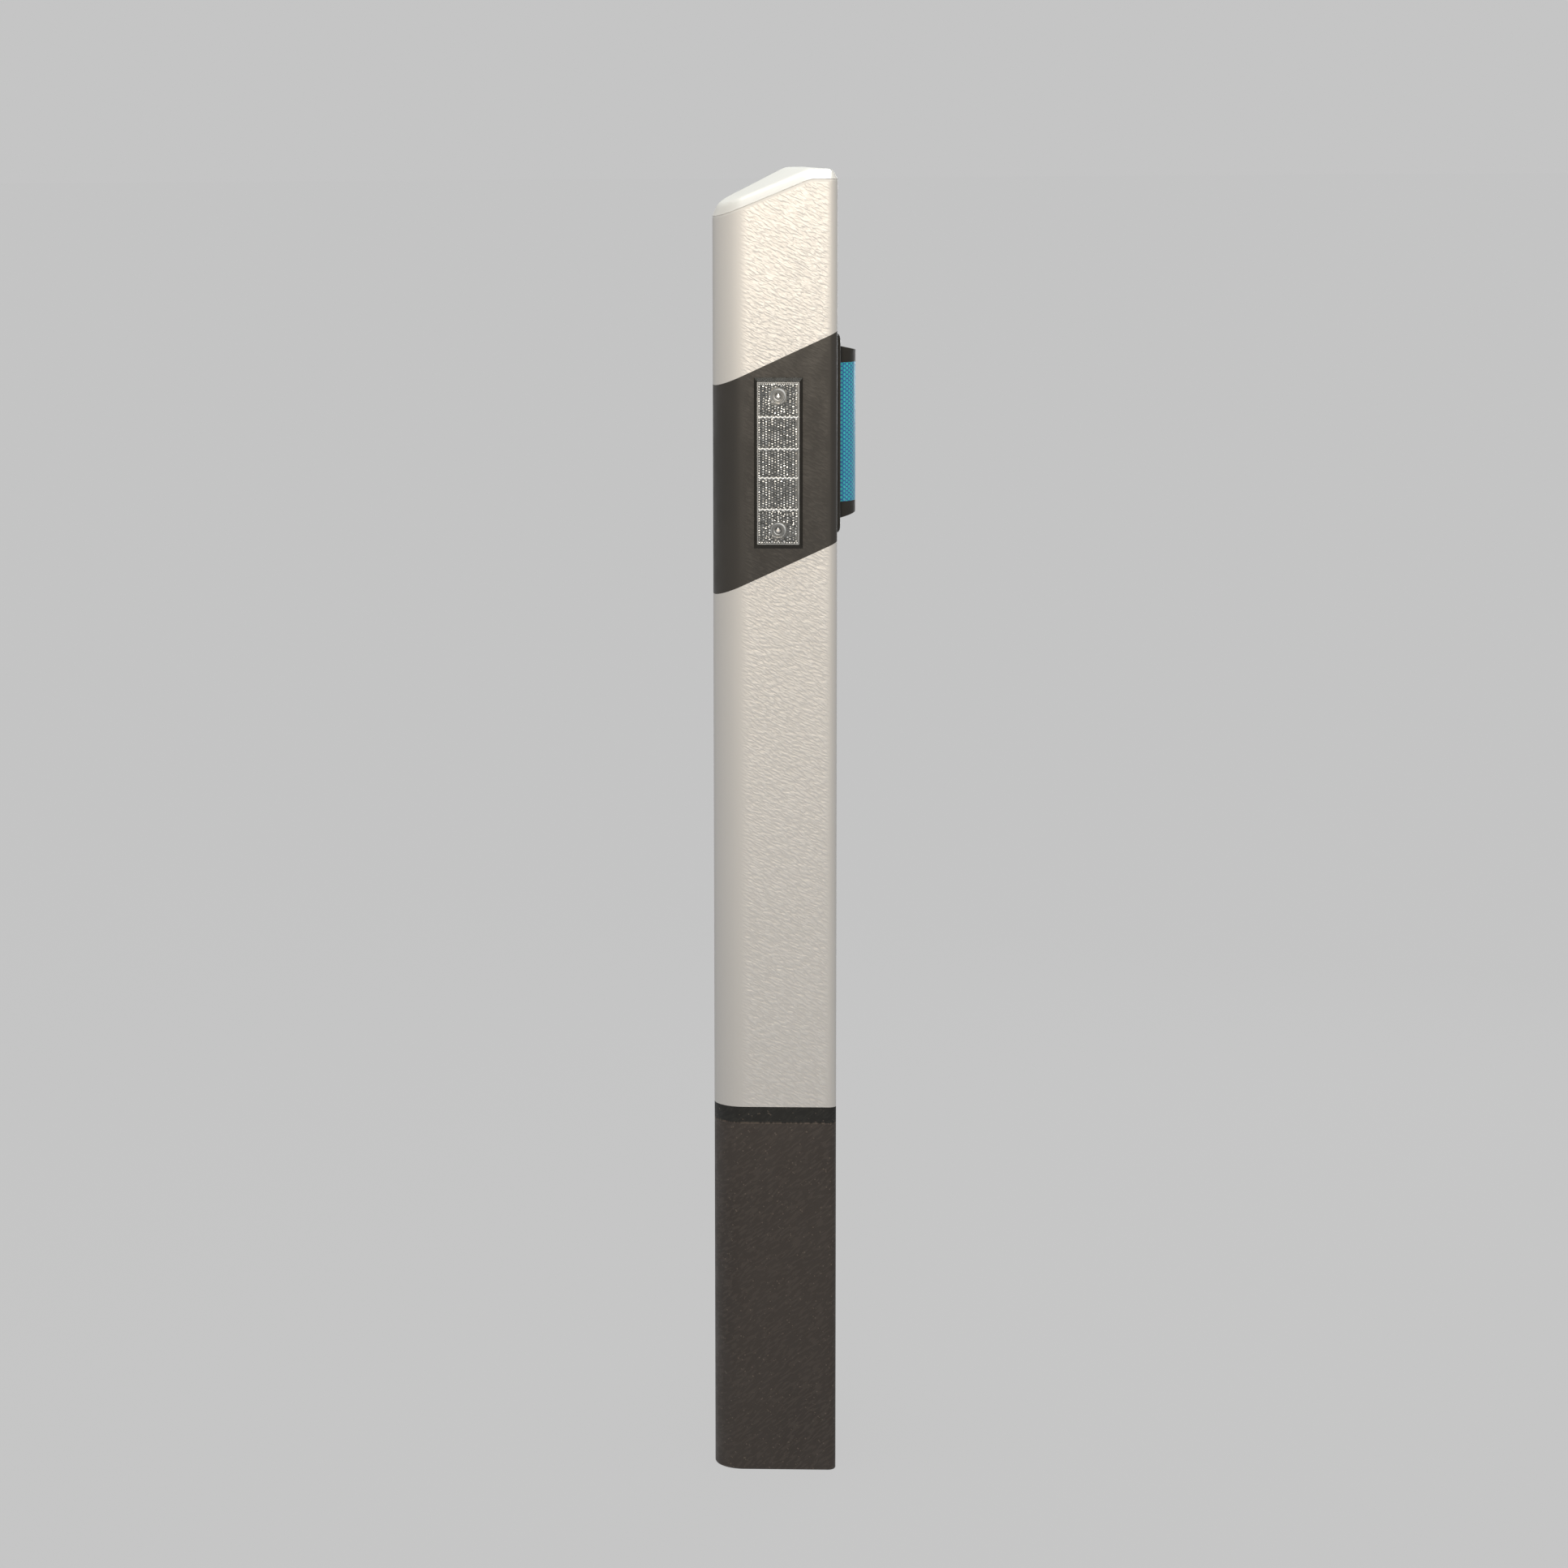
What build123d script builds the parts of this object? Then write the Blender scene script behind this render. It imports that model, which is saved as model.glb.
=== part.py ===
from build123d import *
import os
from math import cos, pi, radians, sin, tan

# Roadside delineator post on a buried ground sleeve.
# Millimetres, +Z up. The rounded road-side edge of the post points towards -X and its flat rear face
# towards +X. The origin is the middle of the post's section, on the underside of the ground sleeve.

os.makedirs("parts", exist_ok=True)

# ---- the post's section: a rounded triangle with a flat rear face ----
post_depth = 120.0
face_angle = radians(18)  # each side face against the X axis
apex_radius = 33.0
rear_radius = 8.0
least_radius = 1.2  # smallest inner corner of a moulded or extruded wall
wall = 4.0
rear_x = post_depth / 2
apex_x = apex_radius - post_depth / 2

# ---- heights ----
sleeve_height = 388.0
collar_height = 17.5
ground_z = sleeve_height + collar_height
visible_height = 1000.0
top_z = ground_z + visible_height

# ---- ground sleeve and collar ----
floor_thickness = 5.0
drain_radius = 8.0
base_fillet = 2.5
skirt_height = 12.0
skirt_inset = 2.0
skirt_gap = 0.1

# ---- slanted top ----
top_slope = radians(23.5)
landing_x = 30.5  # the slope ends here and the level landing begins
bevel_inset = 6.0
bevel_drop = 10.4
cap_skirt = 26.0
cap_gap = 0.1
cap_wall = 3.0
cap_low = ground_z + 900.0  # below everything that belongs to the cap
cap_high = top_z + 60.0

# ---- slanted black band ----
band_slope = radians(26)
band_height = 221.0
band_middle_z = ground_z + 692.5
film_thickness = 0.6

# ---- plug-in foot ----
foot_depth = 230.0
foot_engagement = 80.0
foot_gap = 0.4
foot_wall = 3.6
foot_lead_in = 2.0

# ---- leaf springs on the foot ----
leaf_width = 20.0
leaf_thickness = 0.8
leaf_span = 90.0
leaf_tab = 16.0
pocket_depth = 2.4
pocket_margin = 1.0
leaf_clearance = 0.25  # between the crown of a leaf and the sleeve's wall
leaf_middle_z = ground_z - 130.0
flat_middle = 45.6  # half the flat width of a side face

# ---- reflectors on the side faces ----
reflector_z = ground_z + 693.5
reflector_along = 37.4  # from the end of the apex arc along the flat of the face
frame_height = 5.0
frame_step = 0.8
frame_rim = 0.2
tray_floor = 1.0
backing_thickness = 1.2
lens_proud = 0.1
seat_gap = 0.1
long_width = 51.2
long_height = 179.8
long_lens_width = 44.4
long_lens_height = 170.8
long_rivet_spacing = 141.0
round_radius = 34.0
round_lens_radius = 30.0
round_spacing = 92.0
boss_radius = 8.0
boss_recess = 0.9

# ---- wildlife reflector on the rear face ----
warner_z = ground_z + 723.4
pad_thickness = 1.6
pad_margin = 1.0
plate_width = 100.0
plate_height = 210.0
plate_thickness = 3.4
plate_corner = 8.0
plate_fillet = 3.0
warner_x = rear_x + pad_thickness + plate_thickness
warner_radius = 29.6
warner_height = 184.0
foil_height = 147.0
foil_thickness = 0.6
carrier_wall = 3.0
end_slope = radians(12)
end_fillet = 0.8
spigot_height = 12.0
warner_gap = 0.1

# ---- rivets and screws ----
rivet_radius = 2.0
rivet_head_radius = 4.5
rivet_head_height = 1.5
rivet_crown = 0.4  # flat crown of a rivet head, as a share of its radius
lens_head_radius = 2.8
lens_head_height = 1.8
rivet_tail_radius = 3.4
rivet_tail_height = 3.0
rivet_gap = 0.1
drill_over = 12.0
drill_depth = 11.0
tab_head_radius = 3.4
tab_head_height = 0.9
foot_rivet_y = 25.0
foot_rivet_z = ground_z + 45.0
plate_rivet_y = 41.0
plate_rivet_z = 96.0
screw_radius = 2.0
screw_length = 13.0
screw_head_radius = 3.8
screw_head_height = 2.0
screw_z = 81.0

reach = 70.0  # beyond the post's section on every side
line_margin = 1.0  # an end line runs this far past the half-round body


def corner_centre(inset, radius):
    """Centre of the rear corner arc of the section moved in by inset, as (x, y)."""
    x = rear_x - inset - radius
    y = (apex_radius - inset - radius + sin(face_angle) * (x - apex_x)) / cos(face_angle)
    return x, y


def extrude_section(inset, low, high, mode=Mode.ADD):
    """Extrude the post's section, moved inwards by inset, from height low to height high."""
    apex = apex_radius - inset
    corner = max(rear_radius - inset, least_radius)
    x, y = corner_centre(inset, corner)
    half_turn = (pi / 2 + face_angle) / 2
    apex_end = (apex_x - apex * sin(face_angle), apex * cos(face_angle))
    face_end = (x - corner * sin(face_angle), y + corner * cos(face_angle))
    corner_middle = (x + corner * cos(half_turn), y + corner * sin(half_turn))
    with BuildSketch(Plane.XY.offset(low)) as outline:
        with BuildLine():
            ThreePointArc(apex_end, (apex_x - apex, 0), (apex_end[0], -apex_end[1]))
            Line(apex_end, face_end)
            ThreePointArc(face_end, corner_middle, (x + corner, y))
            Line((x + corner, y), (x + corner, -y))
            ThreePointArc((x + corner, -y), (corner_middle[0], -corner_middle[1]), (face_end[0], -face_end[1]))
            Line((face_end[0], -face_end[1]), (apex_end[0], -apex_end[1]))
        make_face()
    extrude(outline.sketch, amount=high - low, mode=mode)


def keep_between(lower, upper):
    """Cut the active part down to what lies between two height lines, each a list of (x, z)."""
    with BuildSketch(Plane.XZ) as side_view:
        with BuildLine():
            Polyline(*lower, *reversed(upper), close=True)
        make_face()
    extrude(side_view.sketch, amount=reach, both=True, mode=Mode.INTERSECT)


def level_line(z):
    """A level height line."""
    return [(-reach, z), (reach, z)]


def band_line(z):
    """A height line that rises towards the rear at the band's slope and passes z on the Z axis."""
    rise = reach * tan(band_slope)
    return [(-reach, z - rise), (reach, z + rise)]


def top_line(drop):
    """The slope and landing of the post's top, lowered by drop."""
    level = top_z - drop
    return [(-reach, level - (landing_x + reach) * tan(top_slope)), (landing_x, level), (reach, level)]


def slope_line(drop):
    """The slope of the top carried on right across the post, lowered by drop."""
    level = top_z - drop
    rise = tan(top_slope)
    return [(-reach, level - (landing_x + reach) * rise), (reach, level + (reach - landing_x) * rise)]


def side_plane(side, along, inset, z):
    """Plane on a slanted side face, side -1 near or +1 far, moved in by inset, at height z."""
    distance = apex_radius - inset
    x = apex_x - sin(face_angle) * distance + cos(face_angle) * along
    y = side * (cos(face_angle) * distance + sin(face_angle) * along)
    across = (-side * cos(face_angle), -sin(face_angle), 0)
    normal = (-sin(face_angle), side * cos(face_angle), 0)
    return Plane(origin=(x, y, z), x_dir=across, z_dir=normal)


def rear_plane(outwards, z):
    """Plane parallel to the rear face, moved outwards, at height z."""
    return Plane(origin=(rear_x + outwards, 0, z), x_dir=(0, 1, 0), z_dir=(1, 0, 0))


def drill(face, places, radius, depth=drill_depth):
    """Drill round holes square to a face, to a depth behind it."""
    with BuildSketch(face.offset(drill_over)) as holes:
        with Locations(*places):
            Circle(radius)
    extrude(holes.sketch, amount=-(drill_over + depth), mode=Mode.SUBTRACT)


def half_round(radius, low, high, mode=Mode.ADD):
    """Extrude a half disc that stands on the front of the mounting plate."""
    with BuildSketch(Plane.XY.offset(low)) as half_disc:
        with BuildLine():
            ThreePointArc((warner_x, -radius), (warner_x + radius, 0), (warner_x, radius))
            Line((warner_x, radius), (warner_x, -radius))
        make_face()
    extrude(half_disc.sketch, amount=high - low, mode=mode)


def end_line(z, slope):
    """A height line across the half-round body that falls away from z at the mounting plate."""
    behind = warner_x - line_margin
    across = warner_radius + line_margin
    return [(behind, z + line_margin * tan(slope)), (warner_x + across, z - across * tan(slope))]


def blind_rivet(head_radius, head_height, grip):
    """Build a blind rivet in the active part: the head's seat at z = 0, the shank along -Z."""
    tail = -grip - rivet_tail_height
    with BuildSketch(Plane.XZ) as half:
        with BuildLine():
            Line((0, head_height), (head_radius * rivet_crown, head_height))
            TangentArc((head_radius * rivet_crown, head_height), (head_radius, 0), tangent=(1, 0))
            Polyline(
                (head_radius, 0),
                (rivet_radius, 0),
                (rivet_radius, -grip),
                (rivet_tail_radius, -grip),
                (rivet_tail_radius, -grip - rivet_tail_height / 2),
                (rivet_radius, tail),
                (0, tail),
                (0, head_height),
            )
        make_face()
    revolve(half.sketch, axis=Axis.Z)


# ---- places that several pieces share ----
near_face = side_plane(-1, reflector_along, 0, reflector_z)
far_face = side_plane(1, reflector_along, 0, reflector_z)
rear_face = rear_plane(0, warner_z)
foot_rear = rear_plane(0, foot_rivet_z)
long_places = [(0, long_rivet_spacing / 2), (0, -long_rivet_spacing / 2)]
round_places = [(0, round_spacing / 2), (0, -round_spacing / 2)]
foot_places = [(foot_rivet_y, 0), (-foot_rivet_y, 0)]
plate_places = [(y, z) for y in (-plate_rivet_y, plate_rivet_y) for z in (-plate_rivet_z, plate_rivet_z)]
screw_places = [(0, screw_z), (0, -screw_z)]
hole_radius = rivet_radius + rivet_gap
backing_level = tray_floor + backing_thickness
lens_level = frame_height + lens_proud
foot_bottom = ground_z - foot_depth
foot_top = ground_z + foot_engagement
foot_inset = wall + foot_gap
pocket_inset = foot_inset + pocket_depth
pocket_planes = [
    side_plane(-1, flat_middle, pocket_inset, leaf_middle_z),
    side_plane(1, flat_middle, pocket_inset, leaf_middle_z),
    rear_plane(-pocket_inset, leaf_middle_z),
]
pocket_height = leaf_span + leaf_tab + 2 * pocket_margin
tab_y = leaf_span / 2
leaf_low = -pocket_height / 2 + pocket_margin
leaf_high = leaf_low + leaf_span
leaf_centre = (leaf_low + leaf_high) / 2
leaf_crown = pocket_depth + foot_gap - leaf_clearance
carrier_radius = warner_radius - foil_thickness - warner_gap
end_high = warner_z + warner_height / 2
foil_low = warner_z - foil_height / 2
foil_high = warner_z + foil_height / 2


# ======== the part that stays in the ground ========

with BuildPart() as ground_sleeve:
    extrude_section(0, 0, sleeve_height)
    fillet(ground_sleeve.faces().sort_by(Axis.Z)[0].edges(), base_fillet)
    extrude_section(wall, floor_thickness, sleeve_height, Mode.SUBTRACT)
    extrude_section(skirt_inset, sleeve_height - skirt_height, sleeve_height, Mode.SUBTRACT)
    drill(Plane.XY, [(0, 0)], drain_radius)
ground_sleeve.part.label = "ground_sleeve"
export_step(ground_sleeve.part, "parts/ground_sleeve.step")

# The collar is the ring at ground level. Its skirt plugs into the rebate of the sleeve.
with BuildPart() as collar_seal:
    extrude_section(0, sleeve_height, ground_z)
    extrude_section(skirt_inset + skirt_gap, sleeve_height - skirt_height + skirt_gap, sleeve_height)
    extrude_section(wall, 0, ground_z, Mode.SUBTRACT)
collar_seal.part.label = "collar_seal"
export_step(collar_seal.part, "parts/collar_seal.step")


# ======== the post ========

# A thin black film, flush in a shallow recess all round the post.
with BuildPart() as band_recess:
    extrude_section(0, ground_z, top_z)
    extrude_section(film_thickness, ground_z, top_z, Mode.SUBTRACT)
    keep_between(band_line(band_middle_z - band_height / 2), band_line(band_middle_z + band_height / 2))

with BuildPart() as black_band:
    add(band_recess.part)
    drill(near_face, long_places, hole_radius)
    drill(far_face, round_places, hole_radius)
    drill(rear_face, plate_places, hole_radius)
black_band.part.label = "black_band"
export_step(black_band.part, "parts/black_band.step")

with BuildPart() as post_shell:
    extrude_section(0, ground_z, top_z)
    extrude_section(wall, ground_z, top_z, Mode.SUBTRACT)
    keep_between(level_line(ground_z), top_line(bevel_drop))
    add(band_recess.part, mode=Mode.SUBTRACT)
    drill(near_face, long_places, hole_radius)
    drill(far_face, round_places, hole_radius)
    drill(rear_face, plate_places, hole_radius)
    drill(foot_rear, foot_places, hole_radius)
post_shell.part.label = "post_shell"
export_step(post_shell.part, "parts/post_shell.step")

# The cap's skirt, a slanted ring inside the post, and the hollow under its roof.
with BuildPart() as cap_hollow:
    extrude_section(wall + cap_gap + cap_wall, cap_low, top_z)
    keep_between(top_line(bevel_drop), top_line(cap_wall))

with BuildPart() as cap_ring:
    extrude_section(wall + cap_gap, ground_z, top_z)
    extrude_section(wall + cap_gap + cap_wall, ground_z, top_z, Mode.SUBTRACT)
    keep_between(top_line(bevel_drop + cap_skirt), top_line(bevel_drop - cap_wall))

# The bevelled slope and the bevelled landing, each right across the post. The cap is what they share.
with BuildPart() as landing_block:
    extrude_section(0, cap_low, top_z)
    landing_face = landing_block.faces().sort_by(Axis.Z)[-1]
    chamfer(landing_face.edges(), bevel_inset, bevel_drop, reference=landing_face)

with BuildPart() as slope_block:
    extrude_section(0, cap_low, cap_high)
    keep_between(level_line(cap_low), slope_line(0))
    slope_face = slope_block.faces().sort_by(Axis.Z)[-1]
    chamfer(slope_face.edges(), bevel_inset, bevel_drop, reference=slope_face)

with BuildPart() as top_cap:
    add(landing_block.part)
    add(slope_block.part, mode=Mode.INTERSECT)
    keep_between(top_line(bevel_drop), level_line(cap_high))
    add(cap_hollow.part, mode=Mode.SUBTRACT)
    add(cap_ring.part)
top_cap.part.label = "top_cap"
export_step(top_cap.part, "parts/top_cap.step")

# ---- plug-in foot: fits inside the post above ground and inside the sleeve below ----

with BuildPart() as foot_plug:
    extrude_section(foot_inset, foot_bottom, ground_z)
    chamfer(foot_plug.faces().sort_by(Axis.Z)[0].edges(), foot_lead_in)
    extrude_section(wall + cap_gap, ground_z, foot_top)
    extrude_section(foot_inset + foot_wall, foot_bottom, foot_top, Mode.SUBTRACT)
    for pocket in pocket_planes:
        with BuildSketch(pocket) as pocket_outline:
            Rectangle(leaf_width + 2 * pocket_margin, pocket_height)
        extrude(pocket_outline.sketch, amount=wall, mode=Mode.SUBTRACT)
        drill(pocket, [(0, tab_y)], hole_radius)
    drill(foot_rear, foot_places, hole_radius)
foot_plug.part.label = "foot_plug"
export_step(foot_plug.part, "parts/foot_plug.step")

# One leaf lies on z = 0 with its length along Y: a bowed stretch and a flat tab with the rivet's hole.
with BuildPart() as leaf:
    with BuildSketch(Plane.YZ):
        with BuildLine():
            ThreePointArc((leaf_low, leaf_thickness), (leaf_centre, leaf_crown), (leaf_high, leaf_thickness))
            Polyline(
                (leaf_high, leaf_thickness),
                (leaf_high + leaf_tab, leaf_thickness),
                (leaf_high + leaf_tab, 0),
                (leaf_high, 0),
            )
            ThreePointArc((leaf_high, 0), (leaf_centre, leaf_crown - leaf_thickness), (leaf_low, 0))
            Line((leaf_low, 0), (leaf_low, leaf_thickness))
        make_face()
    extrude(amount=leaf_width / 2, both=True)
    drill(Plane.XY, [(0, tab_y)], hole_radius)

with BuildPart() as clamp_springs:
    with Locations(*pocket_planes):
        add(leaf.part)
clamp_springs.part.label = "clamp_springs"
export_step(clamp_springs.part, "parts/clamp_springs.step")

with BuildPart() as tab_rivet:
    blind_rivet(tab_head_radius, tab_head_height, leaf_thickness + foot_wall - pocket_depth)

with BuildPart() as spring_rivets:
    with Locations(*[pocket.offset(leaf_thickness).location * Location((0, tab_y)) for pocket in pocket_planes]):
        add(tab_rivet.part)
spring_rivets.part.label = "spring_rivets"
export_step(spring_rivets.part, "parts/spring_rivets.step")

with BuildPart() as wall_rivet:
    blind_rivet(rivet_head_radius, rivet_head_height, wall + cap_gap + foot_wall + foot_gap)

with BuildPart(foot_rear) as foot_rivets:
    with Locations(*foot_places):
        add(wall_rivet.part)
foot_rivets.part.label = "foot_rivets"
export_step(foot_rivets.part, "parts/foot_rivets.step")


# ---- long reflector on the near face: a chamfered tray, a silvered backing and a clear lens ----

with BuildPart() as rect_housing:
    with BuildSketch(near_face):
        Rectangle(long_width, long_height)
    extrude(amount=frame_step)
    with BuildSketch(near_face.offset(frame_step)):
        Rectangle(long_width, long_height)
    with BuildSketch(near_face.offset(frame_height)):
        Rectangle(long_lens_width + 2 * frame_rim, long_lens_height + 2 * frame_rim)
    loft()
    with BuildSketch(near_face.offset(tray_floor)):
        Rectangle(long_lens_width, long_lens_height)
    extrude(amount=frame_height, mode=Mode.SUBTRACT)
    drill(near_face, long_places, hole_radius)
rect_housing.part.label = "rect_housing"
export_step(rect_housing.part, "parts/rect_housing.step")

with BuildPart() as rect_backing:
    with BuildSketch(near_face.offset(tray_floor)):
        Rectangle(long_lens_width - 2 * seat_gap, long_lens_height - 2 * seat_gap)
    extrude(amount=backing_thickness)
    drill(near_face, long_places, hole_radius)
rect_backing.part.label = "rect_backing"
export_step(rect_backing.part, "parts/rect_backing.step")

with BuildPart() as rect_lens:
    with BuildSketch(near_face.offset(backing_level)):
        Rectangle(long_lens_width - 2 * seat_gap, long_lens_height - 2 * seat_gap)
    extrude(amount=lens_level - backing_level)
    with BuildSketch(near_face.offset(lens_level)):
        with Locations(*long_places):
            Circle(boss_radius)
    extrude(amount=-boss_recess, mode=Mode.SUBTRACT)
    drill(near_face, long_places, hole_radius)
rect_lens.part.label = "rect_lens"
export_step(rect_lens.part, "parts/rect_lens.step")

with BuildPart() as lens_rivet:
    blind_rivet(lens_head_radius, lens_head_height, lens_level - boss_recess + wall)

with BuildPart(near_face.offset(lens_level - boss_recess)) as rect_rivets:
    with Locations(*long_places):
        add(lens_rivet.part)
rect_rivets.part.label = "rect_rivets"
export_step(rect_rivets.part, "parts/rect_rivets.step")


# ---- two round reflectors on the far face ----

for name, place in zip(("upper", "lower"), round_places):
    disc_face = Plane(far_face.location * Location(place))
    with BuildPart() as round_housing:
        with BuildSketch(disc_face):
            Circle(round_radius)
        extrude(amount=frame_step)
        with BuildSketch(disc_face.offset(frame_step)):
            Circle(round_radius)
        with BuildSketch(disc_face.offset(frame_height)):
            Circle(round_lens_radius + frame_rim)
        loft()
        with BuildSketch(disc_face.offset(tray_floor)):
            Circle(round_lens_radius)
        extrude(amount=frame_height, mode=Mode.SUBTRACT)
        drill(disc_face, [(0, 0)], hole_radius)
    round_housing.part.label = name + "_round_housing"
    export_step(round_housing.part, "parts/" + name + "_round_housing.step")

    with BuildPart() as round_backing:
        with BuildSketch(disc_face.offset(tray_floor)):
            Circle(round_lens_radius - seat_gap)
        extrude(amount=backing_thickness)
        drill(disc_face, [(0, 0)], hole_radius)
    round_backing.part.label = name + "_round_backing"
    export_step(round_backing.part, "parts/" + name + "_round_backing.step")

    with BuildPart() as round_lens:
        with BuildSketch(disc_face.offset(backing_level)):
            Circle(round_lens_radius - seat_gap)
        extrude(amount=lens_level - backing_level)
        with BuildSketch(disc_face.offset(lens_level)):
            Circle(boss_radius)
        extrude(amount=-boss_recess, mode=Mode.SUBTRACT)
        drill(disc_face, [(0, 0)], hole_radius)
    round_lens.part.label = name + "_round_lens"
    export_step(round_lens.part, "parts/" + name + "_round_lens.step")

with BuildPart(far_face.offset(lens_level - boss_recess)) as round_rivets:
    with Locations(*round_places):
        add(lens_rivet.part)
round_rivets.part.label = "round_rivets"
export_step(round_rivets.part, "parts/round_rivets.step")


# ---- wildlife reflector on the rear face ----

with BuildPart() as warner_pad:
    with BuildSketch(rear_face):
        RectangleRounded(plate_width - 2 * pad_margin, plate_height - 2 * pad_margin, plate_corner - pad_margin)
    extrude(amount=pad_thickness)
    drill(rear_face, plate_places, hole_radius)
warner_pad.part.label = "warner_pad"
export_step(warner_pad.part, "parts/warner_pad.step")

with BuildPart() as warner_plate:
    with BuildSketch(rear_face.offset(pad_thickness)):
        RectangleRounded(plate_width, plate_height, plate_corner)
    extrude(amount=plate_thickness)
    fillet(warner_plate.faces().sort_by(Axis.X)[-1].edges(), plate_fillet)
    drill(rear_face, plate_places, hole_radius)
    with BuildSketch(rear_face.offset(pad_thickness)):
        with Locations(*screw_places):
            Circle(screw_head_radius + rivet_gap)
    extrude(amount=screw_head_height, mode=Mode.SUBTRACT)
    drill(rear_face, screw_places, screw_radius + rivet_gap)
warner_plate.part.label = "warner_plate"
export_step(warner_plate.part, "parts/warner_plate.step")

with BuildPart() as warner_carrier:
    half_round(carrier_radius, foil_low, foil_high)
    half_round(carrier_radius - carrier_wall, foil_low, foil_high, Mode.SUBTRACT)
warner_carrier.part.label = "warner_carrier"
export_step(warner_carrier.part, "parts/warner_carrier.step")

with BuildPart() as warner_foil:
    half_round(warner_radius, foil_low, foil_high)
    half_round(warner_radius - foil_thickness, foil_low, foil_high, Mode.SUBTRACT)
warner_foil.part.label = "warner_foil"
export_step(warner_foil.part, "parts/warner_foil.step")

# The upper end piece. The lower one is its mirror image.
with BuildPart() as warner_top_end:
    half_round(warner_radius, foil_high, end_high)
    keep_between(end_line(foil_high, 0), end_line(end_high, end_slope))
    fillet(warner_top_end.faces().sort_by(Axis.Z)[-1].edges().sort_by(Axis.X)[1:], end_fillet)
    half_round(carrier_radius - carrier_wall - warner_gap, foil_high - spigot_height, foil_high)
    with BuildSketch(rear_plane(warner_x - rear_x, warner_z)) as screw_hole:
        with Locations(*screw_places):
            Circle(screw_radius + rivet_gap)
    extrude(screw_hole.sketch, amount=screw_length, mode=Mode.SUBTRACT)
warner_top_end.part.label = "warner_top_end"
export_step(warner_top_end.part, "parts/warner_top_end.step")

with BuildPart() as warner_bottom_end:
    mirror(warner_top_end.part, about=Plane.XY.offset(warner_z), mode=Mode.ADD)
warner_bottom_end.part.label = "warner_bottom_end"
export_step(warner_bottom_end.part, "parts/warner_bottom_end.step")

with BuildPart() as plate_rivet:
    blind_rivet(rivet_head_radius, rivet_head_height, pad_thickness + plate_thickness + wall)

with BuildPart(rear_face.offset(pad_thickness + plate_thickness)) as warner_rivets:
    with Locations(*plate_places):
        add(plate_rivet.part)
warner_rivets.part.label = "warner_rivets"
export_step(warner_rivets.part, "parts/warner_rivets.step")

with BuildPart() as warner_screws:
    with BuildSketch(rear_face.offset(pad_thickness)):
        with Locations(*screw_places):
            Circle(screw_head_radius)
    extrude(amount=screw_head_height)
    with BuildSketch(rear_face.offset(pad_thickness + screw_head_height)):
        with Locations(*screw_places):
            Circle(screw_radius)
    extrude(amount=screw_length)
warner_screws.part.label = "warner_screws"
export_step(warner_screws.part, "parts/warner_screws.step")
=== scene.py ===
"""Looks of the roadside delineator post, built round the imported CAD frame. Metres, +Z up."""

import math
import random

import bmesh
import bpy
from mathutils import Matrix, Vector


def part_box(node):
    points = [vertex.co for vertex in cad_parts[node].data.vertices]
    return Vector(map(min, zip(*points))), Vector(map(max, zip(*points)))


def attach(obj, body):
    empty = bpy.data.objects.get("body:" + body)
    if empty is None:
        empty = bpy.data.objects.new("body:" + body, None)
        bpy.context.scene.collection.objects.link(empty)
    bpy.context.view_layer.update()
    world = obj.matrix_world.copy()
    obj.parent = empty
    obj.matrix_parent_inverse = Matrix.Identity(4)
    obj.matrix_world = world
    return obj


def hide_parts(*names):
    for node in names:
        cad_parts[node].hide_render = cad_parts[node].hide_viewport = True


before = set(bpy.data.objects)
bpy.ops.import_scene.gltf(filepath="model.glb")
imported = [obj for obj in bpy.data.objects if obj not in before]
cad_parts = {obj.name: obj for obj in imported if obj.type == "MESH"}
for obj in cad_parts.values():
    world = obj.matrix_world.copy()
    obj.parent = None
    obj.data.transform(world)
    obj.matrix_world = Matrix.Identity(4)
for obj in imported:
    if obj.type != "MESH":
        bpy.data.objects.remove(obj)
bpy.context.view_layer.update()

MM = 0.001
random.seed(7)

# ---- sizes the visual pieces share with the frame ----
SHELL_LOW, SHELL_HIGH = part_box("post_shell")
FOIL_LOW, FOIL_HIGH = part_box("warner_foil")
LENS_LOW, LENS_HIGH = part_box("rect_lens")

FACE_ANGLE = math.radians(18)
APEX_RADIUS = 33 * MM
REAR_RADIUS = 8 * MM
LEAST_RADIUS = 1.2 * MM  # a rear corner that is moved in keeps at least this
REAR_X = SHELL_HIGH.x
APEX_X = SHELL_LOW.x + APEX_RADIUS
GROUND_Z = SHELL_LOW.z
SLEEVE_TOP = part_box("ground_sleeve")[1].z
TOP_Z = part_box("top_cap")[1].z
PLATE_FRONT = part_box("warner_plate")[1].x

WALL = 4 * MM
LANDING_X = 30.5 * MM  # the top's slope ends here and its level landing begins
CREASE = 6 * MM  # how far the soft crease reaches to each side of that line
TOP_SLOPE = math.tan(math.radians(23.5))
BEVEL_INSET = 6 * MM
BEVEL_DROP = 10.4 * MM
BAND_SLOPE = math.tan(math.radians(26))
BAND_Z = GROUND_Z + 692.5 * MM
BAND_HALF = 110.5 * MM
BAND_LOW = BAND_Z - BAND_HALF
BAND_HIGH = BAND_Z + BAND_HALF
FILM = 0.6 * MM

# The sleeve's rebate, and the collar's skirt that plugs into it.
REBATE_DEPTH = 12 * MM
REBATE_INSET = 2 * MM
SKIRT_DEPTH = 11.9 * MM
SKIRT_INSET = 2.1 * MM

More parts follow.
